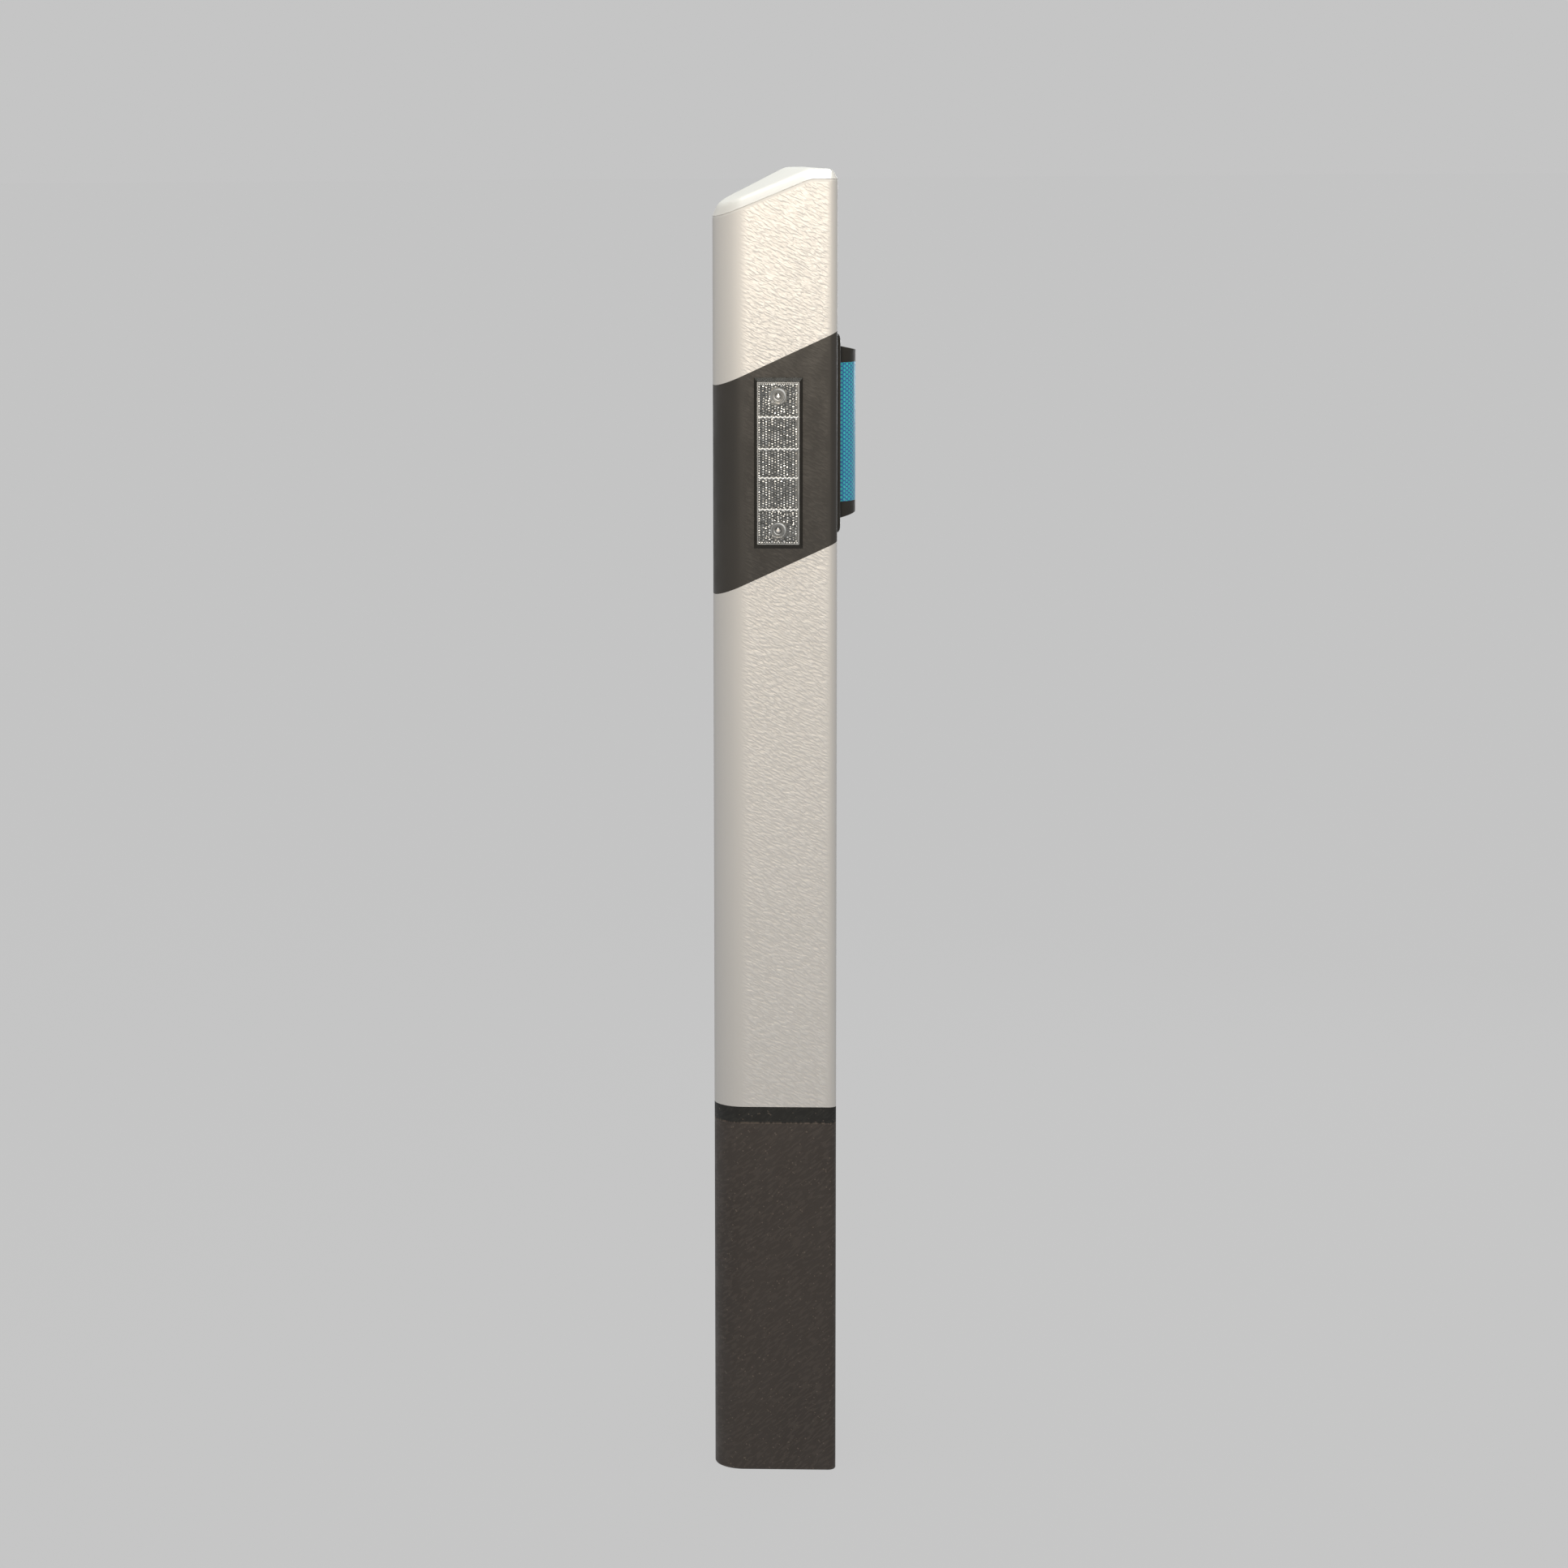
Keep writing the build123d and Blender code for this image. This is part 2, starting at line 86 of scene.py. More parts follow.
# ---- reflectors ----
REFLECTOR_Z = (LENS_LOW.z + LENS_HIGH.z) / 2
REFLECTOR_ALONG = 37.4 * MM  # along the side face, from the end of the apex arc
ROUND_OFFSET = 46 * MM  # each round reflector's middle, above or below REFLECTOR_Z
FRAME_RISE = 5 * MM
FRAME_FOOT = 0.8 * MM  # the frame's chamfer ends this far off the face
TRAY_FLOOR = 1 * MM
LONG_FRAME = (51.2 * MM, 179.8 * MM)
LONG_TRAY = (44.4 * MM, 170.8 * MM)
LONG_LENS = (44.2 * MM, 170.6 * MM)
LONG_LIP = 0.8 * MM
LONG_RIVET = 70.5 * MM
INNER_RIB = 15.3 * MM
OUTER_RIB = 48.6 * MM
ROUND_FRAME = 34 * MM
ROUND_TRAY = 30 * MM
ROUND_LENS = ROUND_TRAY - 0.1 * MM
ROUND_LIP = 0.4 * MM

LENS_BACK = 2.2 * MM
LENS_FLOOR = 3.9 * MM
LENS_RIM = 4.95 * MM
LENS_BORDER = 1.1 * MM
COLUMN_PITCH = 3.15 * MM
ROW_PITCH = 2.6 * MM
PRISM_MIDDLE = 0.42 * MM
PRISM_PEAK = 0.84 * MM
BOSS_CLEARANCE = 8.1 * MM
# side towards which the boss's painted highlights are turned
BOSS_HIGHLIGHT_TURN = math.radians(50)
BEAD_SIZE = 0.62 * MM
BEAD_LEVEL = LENS_RIM - 0.1 * MM


# ======== mesh building ========

def rear_corner(inset, radius):
    """Centre of the rear corner arc of the section moved in by inset."""
    x = REAR_X - inset - radius
    y = (APEX_RADIUS - inset - radius + math.sin(FACE_ANGLE) * (x - APEX_X)) / math.cos(FACE_ANGLE)
    return x, y


def spread(start, end, steps):
    """The points from start up to, but not including, end."""
    return [tuple(a + (b - a) * i / steps for a, b in zip(start, end)) for i in range(steps)]


def outline(inset):
    """The section moved in by inset: from the apex tip round the far side and back along the near side."""
    apex = APEX_RADIUS - inset
    corner = max(REAR_RADIUS - inset, LEAST_RADIUS)
    cx, cy = rear_corner(inset, corner)
    turn = math.pi / 2 - FACE_ANGLE
    arc = [math.pi - turn * i / 22 for i in range(23)]
    half = [(APEX_X + apex * math.cos(a), apex * math.sin(a)) for a in arc]
    end = (cx - corner * math.sin(FACE_ANGLE), cy + corner * math.cos(FACE_ANGLE))
    share = (LANDING_X - half[-1][0]) / (end[0] - half[-1][0])
    crease = tuple(a + (b - a) * share for a, b in zip(half[-1], end))
    half += spread(half[-1], crease, 24)[1:] + spread(crease, end, 8)
    turn = math.pi / 2 + FACE_ANGLE
    half += [(cx + corner * math.cos(turn * (1 - i / 10)), cy + corner * math.sin(turn * (1 - i / 10)))
             for i in range(11)]
    half += [(half[-1][0], half[-1][1] * k / 3) for k in (2, 1)]
    return half + [(x, -y) for x, y in reversed(half[1:])]


def level(z):
    """A level height line."""
    return lambda x: z


def band_line(z):
    """A height line at the black band's slope."""
    return lambda x: z + BAND_SLOPE * x


def top_line(drop):
    """The slope and landing of the top, with a soft crease between them, lowered by drop."""
    def height(x):
        below = LANDING_X - x
        if abs(below) < CREASE:
            below = (below + CREASE) ** 2 / (4 * CREASE)
        return TOP_Z - drop - TOP_SLOPE * max(0.0, below)
    return height


def ring(inset, height):
    """A closed loop of the section at a height line."""
    return [(x, y, height(x)) for x, y in outline(inset)]


def round_ring(radius, z):
    """A circular loop about the Z axis, in step with the loops of ring()."""
    angles = [math.atan2(y, x) for x, y in outline(0)]
    return [(radius * math.cos(a), radius * math.sin(a), z) for a in angles]


def bridge(loops, cyclic=False):
    """Quads between loops of equal length, as (points, faces)."""
    count = len(loops[0])
    points = [p for loop in loops for p in loop]
    faces = []
    for j in range(len(loops) - (0 if cyclic else 1)):
        k = (j + 1) % len(loops)
        faces += [(j * count + i, j * count + (i + 1) % count, k * count + (i + 1) % count, k * count + i)
                  for i in range(count)]
    return points, faces


def strips(first, count, upwards):
    """Faces that close a symmetric loop of count points with strips across it."""
    half = (count + 1) // 2
    faces = [(first, first + 1, first + count - 1)]
    faces += [(first + i, first + i + 1, first + count - i - 1, first + count - i)
              for i in range(1, half - 1)]
    last = half - 1
    if count % 2 == 0:
        faces.append((first + last, first + last + 1, first + count - last))
    return [tuple(reversed(f)) for f in faces] if upwards else faces


def make(name, points, faces, material, body, nodes, bevel=0.0, smooth=True, closed=True):
    """Make a mesh piece that rides on a body, takes its material and stands for CAD nodes."""
    mesh = bpy.data.meshes.new(name)
    mesh.from_pydata([tuple(p) for p in points], [], faces)
    mesh.update()
    obj = bpy.data.objects.new(name, mesh)
    bpy.context.scene.collection.objects.link(obj)
    mesh.materials.append(material)
    if closed:
        fix_normals(mesh)
    for polygon in mesh.polygons:
        polygon.use_smooth = smooth
    mesh.set_sharp_from_angle(angle=math.radians(32))
    if bevel:
        edge = obj.modifiers.new("edges", "BEVEL")
        edge.width = bevel
        edge.segments = 3
        edge.limit_method = "ANGLE"
        edge.angle_limit = math.radians(25)
        weighted = obj.modifiers.new("normals", "WEIGHTED_NORMAL")
        weighted.keep_sharp = True
    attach(obj, body)
    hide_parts(*nodes)
    return obj


def fix_normals(mesh):
    """Turn all faces outwards."""
    work = bmesh.new()
    work.from_mesh(mesh)
    bmesh.ops.recalc_face_normals(work, faces=work.faces)
    work.to_mesh(mesh)
    work.free()


def side_matrix(side, along, z):
    """Local X across, Y up and Z out of a slanted side face: side -1 is near, +1 far."""
    s, c = math.sin(FACE_ANGLE), math.cos(FACE_ANGLE)
    across = Vector((-side * c, -s, 0))
    up = Vector((0, 0, 1))
    out = Vector((-s, side * c, 0))
    origin = Vector((APEX_X - s * APEX_RADIUS + c * along, side * (c * APEX_RADIUS + s * along), z))
    matrix = Matrix((across, up, out)).transposed().to_4x4()
    matrix.translation = origin
    return matrix


def placed(matrix, points):
    """The points, moved from a face's own plane to their place."""
    return [tuple(matrix @ Vector(p)) for p in points]


# ======== materials ========

WHITE_LIGHT = (0.675, 0.66, 0.635)
WHITE_DULL = (0.645, 0.63, 0.60)
WHITE_ROUGH = 0.46
WHITE_IOR = 2.2
WHITE_SPEC = 1.0
WHITE_DIRT = (0.42, 0.37, 0.31)
# painted shade in the grain's hollows
WHITE_HOLLOW_SHADE = (0.36, 0.32, 0.27)
# painted highlight on the grain's crests
WHITE_CREST_HIGHLIGHT = (0.80, 0.785, 0.755)
# painted shade on the smooth apex and rear corners
WHITE_APEX_PAINTED_SHADE = (0.40, 0.40, 0.39)
ROUGH_SPREAD = 0.012
LEATHER = (180, 430, 0.48, 3.0)  # ridges per metre across and upwards, their lean, and a seed
SLEEVE_RIDGES = (150, 340, -0.75, 11.0)
GRAIN = 0.45 * MM
# colour of the painted glints: pale flecks on the dark grained plastics
FLECK_GLINT_COLOR = (0.26, 0.21, 0.17)
# painted highlight: how much lighter the dark grain's ridges are painted
RIDGE_HIGHLIGHT_GAIN = 1.22


class Paint:
    """A material's node tree, built step by step."""

    def __init__(self, name):
        self.material = bpy.data.materials.new(name)
        self.material.use_nodes = True
        self.tree = self.material.node_tree
        self.tree.nodes.clear()
        out = self.tree.nodes.new("ShaderNodeOutputMaterial")
        self.shader = self.tree.nodes.new("ShaderNodeBsdfPrincipled")
        self.link(self.shader.outputs[0], out.inputs["Surface"])
        self.place = self.tree.nodes.new("ShaderNodeTexCoord").outputs["Object"]

    def link(self, a, b):
        self.tree.links.new(a, b)

    def set(self, **values):
        """Constants, on the shader's own sockets."""
        for key, value in values.items():
            self.shader.inputs[key.replace("_", " ")].default_value = value

    def node(self, kind, settings=None, **inputs):
        """A new node. An input is named by its key, or by its number after an i."""
        node = self.tree.nodes.new(kind)
        for key, value in (settings or {}).items():
            setattr(node, key, value)
        for key, value in inputs.items():
            socket = node.inputs[int(key[1:])] if key[0] == "i" and key[1:].isdigit() else node.inputs[key]
            if isinstance(value, bpy.types.NodeSocket):
                self.link(value, socket)
            else:
                socket.default_value = value
        return node

    def mapped(self, scale, rotation=(0, 0, 0), vector=None):
        return self.node("ShaderNodeMapping", Vector=vector or self.place, Scale=scale,
                         Rotation=rotation).outputs[0]

    def even(self, scale):
        """Object space, scaled alike each way."""
        return self.mapped((scale, scale, scale))

    def noise(self, vector, scale=1.0, detail=3.0, roughness=0.5):
        return self.node("ShaderNodeTexNoise", Vector=vector, Scale=scale, Detail=detail,
                         Roughness=roughness).outputs[0]

    def cells(self, vector):
        """The distance to the middle of the nearest irregular cell."""
        return self.node("ShaderNodeTexVoronoi", Vector=vector, Scale=1.0).outputs["Distance"]

    def ramp(self, value, low, high, to_low=0.0, to_high=1.0):
        """A smooth step of a value from low to high, which may run downwards."""
        return self.node("ShaderNodeMapRange", {"interpolation_type": "SMOOTHSTEP"}, i0=value, i1=low,
                         i2=high, i3=to_low, i4=to_high).outputs[0]

    def vector_math(self, operation, a, **inputs):
        return self.node("ShaderNodeVectorMath", {"operation": operation}, i0=a, **inputs).outputs[0]

    def math(self, operation, a, b=0.0):
        return self.node("ShaderNodeMath", {"operation": operation}, i0=a, i1=b).outputs[0]

    def mix(self, factor, a, b):
        return self.node("ShaderNodeMix", {"data_type": "RGBA"}, i0=factor, i6=a, i7=b).outputs[2]

    def axes(self, vector=None):
        return self.node("ShaderNodeSeparateXYZ", Vector=vector or self.place).outputs

    def bump(self, height, strength, distance, normal=None):
        node = self.node("ShaderNodeBump", Height=height, Strength=strength, Distance=distance)
        if normal is not None:
            self.link(normal, node.inputs["Normal"])
        return node.outputs[0]

    def finish(self, color=None, roughness=None, normal=None):
        for value, key in ((color, "Base Color"), (roughness, "Roughness"), (normal, "Normal")):
            if value is not None:
                self.link(value, self.shader.inputs[key])
        return self.material


def rgba(r, g, b):
    return r, g, b, 1.0


def wrinkles(p, across, upwards, lean, seed):
    """Height of an embossed leather grain: short ridges that wander, and that lean across the face."""
    x, y, z = p.axes()
    leaning = p.math("ADD", z, p.math("MULTIPLY", x, lean))
    moved = p.node("ShaderNodeCombineXYZ", X=x, Y=y, Z=leaning).outputs[0]
    stretched = p.mapped((across, across, upwards), vector=moved)
    shifted = p.vector_math("ADD", stretched, i1=(seed, 0, seed))
    bend = p.node("ShaderNodeTexNoise", Vector=shifted, Scale=0.9, Detail=0.0).outputs["Color"]
    bent = p.vector_math("ADD", shifted, i1=p.vector_math("SCALE", bend, Scale=0.8))
    ridges = p.ramp(p.cells(bent), 0.85, 0.05)
    folds = p.ramp(p.noise(bent, 0.95, detail=0.5), 0.28, 0.72)
    return p.math("ADD", p.math("MULTIPLY", folds, 0.6), p.math("MULTIPLY", ridges, 0.4))


def grain_mask(p):
    """One on the flat faces, fading to nothing on the apex, at the rear corners and just below the cap."""
    x, y, z = p.axes()
    side = p.math("MULTIPLY", p.ramp(x, -43 * MM, -29 * MM), p.ramp(x, 52.5 * MM, 44.5 * MM))
    slope = p.math("MULTIPLY", p.math("MINIMUM", p.math("SUBTRACT", x, LANDING_X), 0.0), TOP_SLOPE)
    below = p.math("SUBTRACT", p.math("ADD", slope, TOP_Z - BEVEL_DROP), z)
    side = p.math("MULTIPLY", side, p.ramp(below, 1.5 * MM, 4.5 * MM))
    rear = p.math("MULTIPLY", p.ramp(x, REAR_X - 1.5 * MM, REAR_X - 0.8 * MM),
                  p.ramp(p.math("ABSOLUTE", y), 52 * MM, 44 * MM))
    return p.math("MAXIMUM", side, rear)


def white_plastic(name, grained):
    """Weathered white polyethylene, leather-grained on the flat faces and smooth on the apex, with painted
    shade in the grain's hollows, painted highlights on its crests and painted shade on the smooth apex, the
    rear corners and just below the cap.
    """
    p = Paint(name)
    z = p.axes()[2]
    cloud = p.noise(p.mapped((9, 9, 4)), detail=4.0, roughness=0.6)
    speck = p.noise(p.even(420), detail=2.0)
    base = p.mix(p.ramp(cloud, 0.25, 0.8), rgba(*WHITE_LIGHT), rgba(*WHITE_DULL))
    splash = p.ramp(z, GROUND_Z + 160 * MM, GROUND_Z - 10 * MM)
    dirt = p.math("MULTIPLY", splash, p.ramp(speck, 0.35, 0.75, 0.25, 1.0))
    base = p.mix(p.math("MULTIPLY", dirt, 0.10), base, rgba(*WHITE_DIRT))
    fine = p.noise(p.even(900), detail=2.0)
    normal = p.bump(fine, 0.10, 0.05 * MM)
    rough = p.ramp(p.noise(p.mapped((60, 60, 25)), detail=4.0), 0.3, 0.7,
                   WHITE_ROUGH - ROUGH_SPREAD, WHITE_ROUGH + ROUGH_SPREAD)
    p.set(IOR=WHITE_IOR, Specular_IOR_Level=WHITE_SPEC)
    if grained:
        mask = grain_mask(p)
        patchy = p.ramp(p.noise(p.mapped((20, 20, 13)), detail=2.0), 0.30, 0.70, 0.85, 1.0)
        rough = p.math("ADD", rough, p.ramp(mask, 0.0, 1.0, 0.14, 0.0))
        relief = wrinkles(p, *LEATHER)
        amount = p.math("MULTIPLY", mask, patchy)
        height = p.math("MULTIPLY", relief, amount)
        # painted shade: the grain's hollows are darkened in the colour
        hollow_shade = p.math("MULTIPLY", p.ramp(relief, 0.58, 0.30), p.math("MULTIPLY", amount, 0.10))
        # painted highlight: the grain's crests are lightened in the colour
        crest_highlight = p.math("MULTIPLY", p.ramp(relief, 0.50, 0.78), p.math("MULTIPLY", amount, 0.38))
        base = p.mix(hollow_shade, base, rgba(*WHITE_HOLLOW_SHADE))
        base = p.mix(crest_highlight, base, rgba(*WHITE_CREST_HIGHLIGHT))
        # painted shade: where the grain fades out, on the apex, at the rear corners and just below the cap,
        # the colour is darkened
        base = p.mix(p.ramp(mask, 0.0, 1.0, 0.12, 0.0), base, rgba(*WHITE_APEX_PAINTED_SHADE))
        normal = p.bump(height, 1.0, GRAIN, normal)
    return p.finish(base, rough, normal)


def dark_grained(name, light, dark, rough, specular, glint_amount, height_of, grain):
    """Dark plastic, rubber or film with a grain, painted highlights on the grain's ridges, painted glints as
    a few pale flecks along it, and painted glints as pale marks along the collar joint.
    """
    p = Paint(name)
    cloud = p.noise(p.mapped((14, 14, 7)), detail=4.0, roughness=0.6)
    base = p.mix(p.ramp(cloud, 0.35, 0.7), rgba(*light), rgba(*dark))
    # painted glints: pale flecks in slanting rows
    leaning = p.mapped((170, 170, 170), (0, math.radians(-38), 0))
    rows = p.math("SINE", p.math("MULTIPLY", p.axes(leaning)[2], 5.2))
    glint_spots = p.cells(p.even(330))
    gate = p.ramp(p.noise(p.even(150), detail=1.0), 0.46, 0.56)
    glint_spots = p.math("MULTIPLY", p.math("MULTIPLY", p.ramp(glint_spots, 0.34, 0.16), gate), p.ramp(rows, 0.2, 0.7))
    z = p.axes()[2]
    # painted glints: pale marks along the joint at the sleeve's top
    joint = p.ramp(p.math("ABSOLUTE", p.math("SUBTRACT", z, SLEEVE_TOP)), 1.4 * MM, 0.4 * MM)
    joint_glint_dashes = p.math("MULTIPLY", joint, p.ramp(p.noise(p.mapped((240, 240, 0)), detail=1.0), 0.42, 0.60))
    glint_spots = p.math("MAXIMUM", glint_spots, joint_glint_dashes)
    relief = height_of(p)
    # painted highlight: the grain's ridges are lightened in the colour
    base = p.mix(p.ramp(relief, 0.42, 0.74), base, rgba(*[RIDGE_HIGHLIGHT_GAIN * c for c in light]))
    base = p.mix(p.math("MULTIPLY", glint_spots, glint_amount), base, rgba(*FLECK_GLINT_COLOR))
    roughness = p.ramp(p.noise(p.mapped((80, 80, 40)), detail=4.0), 0.3, 0.7, rough - 0.06, rough + 0.06)
    p.set(Specular_IOR_Level=specular)
    return p.finish(base, roughness, p.bump(relief, 1.0, grain))


def film_grain(p):
    """The face's leather grain, seen through the film."""
    return p.math("MULTIPLY", wrinkles(p, *LEATHER), grain_mask(p))


def sleeve_grain(p):
    """Short ridges in slanting rows."""
    return wrinkles(p, *SLEEVE_RIDGES)


def moulded(name, color, edge, rough_low, rough_high, specular=0.5):
    """Satin injection-moulded plastic, a little paler where hands and weather rub it."""
    p = Paint(name)
    cloud = p.noise(p.even(35), detail=4.0, roughness=0.6)
    base = p.mix(p.ramp(cloud, 0.4, 0.75), rgba(*color), rgba(*edge))
    rough = p.ramp(p.noise(p.even(150), detail=3.0), 0.3, 0.7, rough_low, rough_high)
    fine = p.noise(p.even(1400), detail=2.0)
    p.set(Specular_IOR_Level=specular)
    return p.finish(base, rough, p.bump(fine, 0.25, 0.04 * MM))


def metal(name, color, rough_low, rough_high, brushed=1.0):
    """Plain metal with a dulled surface, and fine drawn lines along Z where brushed is below one."""
    p = Paint(name)
    cloud = p.noise(p.even(120), detail=4.0)
    darker = tuple(c * 0.7 for c in color)
    base = p.mix(p.ramp(cloud, 0.35, 0.75), rgba(*color), rgba(*darker))
    streaks = p.noise(p.mapped((400, 400, 400 * brushed)), detail=3.0)
    rough = p.ramp(streaks, 0.3, 0.7, rough_low, rough_high)
    p.set(Metallic=1.0)
    lines = p.noise(p.mapped((1500, 1500, 1500 * brushed)), detail=2.0)
    return p.finish(base, rough, p.bump(lines, 0.2, 0.02 * MM))


def lens_material(name):
    """Clear acrylic over silvered prisms. The attribute holds one tone for each facet, which also carries
    the painted glints, highlights and shade.
    """
    p = Paint(name)
    tone = p.node("ShaderNodeAttribute", {"attribute_name": "tone"}).outputs["Fac"]
    base = p.mix(tone, rgba(0.080, 0.085, 0.085), rgba(0.94, 0.98, 1.0))
    dust = p.ramp(p.noise(p.even(90), detail=4.0), 0.35, 0.75, 0.22, 0.36)
    p.set(Metallic=0.25, Specular_IOR_Level=0.7)
    fine = p.noise(p.even(1300), detail=1.0)
    return p.finish(base, dust, p.bump(fine, 0.15, 0.05 * MM))


def foil_material(name):
    """Blue prismatic sheet: greenish cell middles inside darker blue walls."""
    p = Paint(name)
    tone = p.node("ShaderNodeAttribute", {"attribute_name": "tone"}).outputs["Fac"]
    cloud = p.noise(p.even(180), detail=2.0)
    middle = p.mix(p.ramp(cloud, 0.35, 0.7), rgba(0.03, 0.74, 0.72), rgba(0.035, 0.66, 0.72))
    base = p.mix(tone, rgba(0.010, 0.11, 0.46), middle)
    rough = p.ramp(p.noise(p.even(60), detail=3.0), 0.3, 0.7, 0.28, 0.38)
    p.set(Coat_Weight=0.4, Coat_Roughness=0.15)
    fine = p.noise(p.even(900), detail=1.0)
    return p.finish(base, rough, p.bump(fine, 0.1, 0.05 * MM))


def foam(name):
    """Grey closed-cell foam."""
    p = Paint(name)
    cells = p.cells(p.even(1500))
    base = p.mix(p.ramp(cells, 0.1, 0.6), rgba(0.10, 0.10, 0.097), rgba(0.20, 0.20, 0.195))
    rough = p.ramp(p.noise(p.even(200)), 0.3, 0.7, 0.7, 0.9)
    return p.finish(base, rough, p.bump(cells, 0.5, 0.1 * MM))


WHITE = white_plastic("white_grained", grained=True)
WHITE_SMOOTH = white_plastic("white_smooth", grained=False)
FILM_BLACK = dark_grained("film_black", (0.050, 0.046, 0.041), (0.044, 0.041, 0.037),
                          0.45, 0.35, 0.0, film_grain, 0.08 * MM)
SLEEVE = dark_grained("sleeve_brown", (0.064, 0.053, 0.046), (0.057, 0.047, 0.041),
                      0.52, 0.35, 0.45, sleeve_grain, 0.20 * MM)
COLLAR = dark_grained("collar_black", (0.027, 0.027, 0.025), (0.023, 0.023, 0.022),
                      0.55, 0.25, 0.45, sleeve_grain, 0.16 * MM)
BLACK = moulded("moulded_black", (0.036, 0.034, 0.030), (0.043, 0.041, 0.036), 0.50, 0.60, 0.16)
FOOT = moulded("foot_grey", (0.055, 0.055, 0.056), (0.085, 0.083, 0.08), 0.45, 0.60)
ALUMINIUM = metal("aluminium", (0.70, 0.69, 0.67), 0.25, 0.40)
STEEL = metal("spring_steel", (0.45, 0.45, 0.46), 0.22, 0.38, brushed=0.15)
SILVER = metal("silvered", (0.80, 0.80, 0.78), 0.10, 0.20)
LENS = lens_material("prismatic_lens")
FOIL = foil_material("blue_sheet")
FOAM = foam("grey_foam")


# ======== the ground part ========

def ground_sleeve():
    """The dark socket, open at the top, with a drain hole in its floor and a rounded foot."""
    floor_z = 5 * MM
    drain = 8 * MM
    corner = 1 * MM
    fillet = 2.5 * MM
    steps = 6
    rebate_z = SLEEVE_TOP - REBATE_DEPTH
    loops = [round_ring(drain, floor_z), ring(WALL + corner, level(floor_z))]
    loops += [ring(WALL, level(floor_z + corner)), ring(WALL, level(rebate_z))]
    loops += [ring(REBATE_INSET, level(rebate_z)), ring(REBATE_INSET, level(SLEEVE_TOP))]
    loops.append(ring(0, level(SLEEVE_TOP)))
    for i in range(steps + 1):
        a = math.pi / 2 * i / steps
        loops.append(ring(fillet * (1 - math.cos(a)), level(fillet * (1 - math.sin(a)))))
    loops.append(round_ring(drain, 0))
    points, faces = bridge(loops, cyclic=True)
    make("ground_sleeve_body", points, faces, SLEEVE, "ground", ["ground_sleeve"],
         bevel=0.35 * MM)


def collar():
    """The near-black ring at the ground line, with its skirt inside the sleeve."""
    skirt = SLEEVE_TOP - SKIRT_DEPTH
    path = [(WALL, skirt), (SKIRT_INSET, skirt), (SKIRT_INSET, SLEEVE_TOP)]
    path += [(0, SLEEVE_TOP), (0, GROUND_Z), (WALL, GROUND_Z)]
    points, faces = bridge([ring(inset, level(z)) for inset, z in path], cyclic=True)
    make("collar_ring", points, faces, COLLAR, "ground", ["collar_seal"], bevel=0.45 * MM)


# ======== the post's own walls ========

def rounded(path, radii):
    """A path with its inner corners rounded to the radii given."""
    steps = 6
    result = [path[0]]
    for (before, corner, after), radius in zip(zip(path, path[1:], path[2:]), radii):
        p, q, r = Vector(before), Vector(corner), Vector(after)
        u, v = (p - q).normalized(), (r - q).normalized()
        half = math.acos(max(-1.0, min(1.0, u.dot(v)))) / 2
        reach = radius / math.tan(half)
        middle = q + (u + v).normalized() * radius / math.sin(half)
        start, end = q + u * reach - middle, q + v * reach - middle
        turn = start.angle(end)
        for i in range(steps + 1):
            f = i / steps
            arm = (start * math.sin((1 - f) * turn) + end * math.sin(f * turn)) / math.sin(turn)
            result.append(tuple(middle + arm))
    return result + [path[-1]]


# The bevel round the top, as (inset, drop) from the shell's wall up to the cap's flat middle.
TOP_CORNERS = [(0, BEVEL_DROP + 5 * MM), (0, BEVEL_DROP), (BEVEL_INSET, 0), (13 * MM, 0)]
TOP_EDGES = rounded(TOP_CORNERS, [11 * MM, 8 * MM])
EDGE_BELOW = [p for p in TOP_EDGES[1:] if p[1] > BEVEL_DROP]
EDGE_ABOVE = [p for p in TOP_EDGES if p[1] <= BEVEL_DROP]


def post_shell():
    """The white hollow post, with the band's shallow recess round it."""
    lines = [(WALL, level(GROUND_Z)), (0, level(GROUND_Z)), (0, band_line(BAND_LOW))]
    lines += [(FILM, band_line(BAND_LOW)), (FILM, band_line(BAND_HIGH)), (0, band_line(BAND_HIGH))]
    lines += [(inset, top_line(drop)) for inset, drop in EDGE_BELOW] + [(WALL, top_line(BEVEL_DROP))]
    points, faces = bridge([ring(inset, line) for inset, line in lines], cyclic=True)
    make("post_shell_walls", points, faces, WHITE, "post", ["post_shell"], bevel=0.12 * MM)


def black_band():
    """The slanted film, flush with the post."""
    lines = [(0, band_line(BAND_LOW)), (0, band_line(BAND_HIGH))]
    lines += [(FILM, band_line(BAND_HIGH)), (FILM, band_line(BAND_LOW))]
    points, faces = bridge([ring(inset, line) for inset, line in lines], cyclic=True)
    make("black_band_film", points, faces, FILM_BLACK, "post", ["black_band"], bevel=0.12 * MM)


def top_cap():
    """The smooth cap: its bevel and roof above the shell, and its skirt inside."""
    skirt = BEVEL_DROP + 26 * MM
    roof = 3 * MM
    outer = WALL + 0.1 * MM
    inner = outer + 3 * MM
    path = [(inner, roof), (inner, skirt), (outer, skirt), (outer, BEVEL_DROP)]
    path += [(0.35 * MM, BEVEL_DROP), (0.2 * MM, BEVEL_DROP - 0.25 * MM)] + EDGE_ABOVE[1:]
    loops = [ring(inset, top_line(drop)) for inset, drop in path]
    points, faces = bridge(loops)
    count = len(loops[0])
    faces += strips(0, count, False) + strips((len(loops) - 1) * count, count, True)
    make("top_cap_shell", points, faces, WHITE_SMOOTH, "post", ["top_cap"])


# ======== reflectors ========

